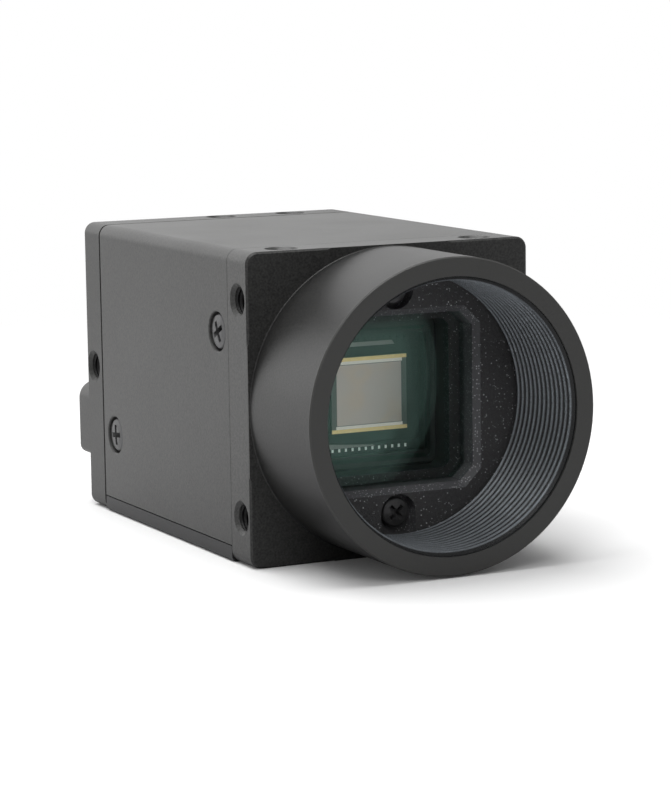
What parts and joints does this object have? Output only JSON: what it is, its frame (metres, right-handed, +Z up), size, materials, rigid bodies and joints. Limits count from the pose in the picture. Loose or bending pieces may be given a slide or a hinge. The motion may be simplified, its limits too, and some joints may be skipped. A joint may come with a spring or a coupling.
{
  "type": "machine vision camera",
  "caption": "Compact square machine vision camera with a threaded lens barrel showing the image sensor, a screwed cover and a rear plate with data and signal sockets.",
  "frame": {"origin": "middle of the bounding box's bottom face, on the surface that the base plate rests on", "axes": "-Y is the way the lens barrel points, +Y the rear sockets, +X to the right seen from the front, +Z up"},
  "size_m": [0.029, 0.0572, 0.029],
  "materials": {
    "housing": "dark grey satin anodised aluminium",
    "cover": "grey satin coated aluminium",
    "base": "dark grey satin coated aluminium",
    "rear": "grey satin coated aluminium",
    "holder": "matt black textured coat",
    "black_screw": "black oxide",
    "small_screw": "zinc plated",
    "filter": "coated, greenish",
    "lid_glass": "clear",
    "package": "matt dark ceramic",
    "silicon": "polished silicon",
    "gold": "gold plated",
    "rubber": "black foam rubber",
    "board": "green solder mask",
    "chip": "moulded black",
    "connector_plastic": "moulded black",
    "spacer": "nickel plated brass",
    "plated_shell": "satin nickel plate",
    "steel_shell": "stamped steel",
    "light": "clear green light pipe"
  },
  "bodies": {
    "root": {"front_housing": "housing", "filter_holder": "holder", "holder_screws": "black_screw", "filter_glass": "filter", "sensor_seal": "rubber", "sensor_package": "package", "sensor_die": "silicon", "sensor_bond_pads": "gold", "sensor_lid_glass": "lid_glass", "sensor_board": "board", "board_spacers": "spacer", "board_screws": "small_screw", "processor_board": "board", "processor_chip": "chip", "memory_chips": "chip", "board_sockets": "connector_plastic", "board_plugs": "connector_plastic", "interface_board": "board", "usb_shell": "steel_shell", "usb_tongues": "connector_plastic", "io_shell": "plated_shell", "io_nut": "plated_shell", "io_insert": "connector_plastic", "io_pins": "gold", "status_light": "light", "cover_shell": "cover", "cover_screws": "black_screw", "base_plate": "base", "base_screws": "black_screw", "rear_plate": "rear"}
  },
  "joints": []
}
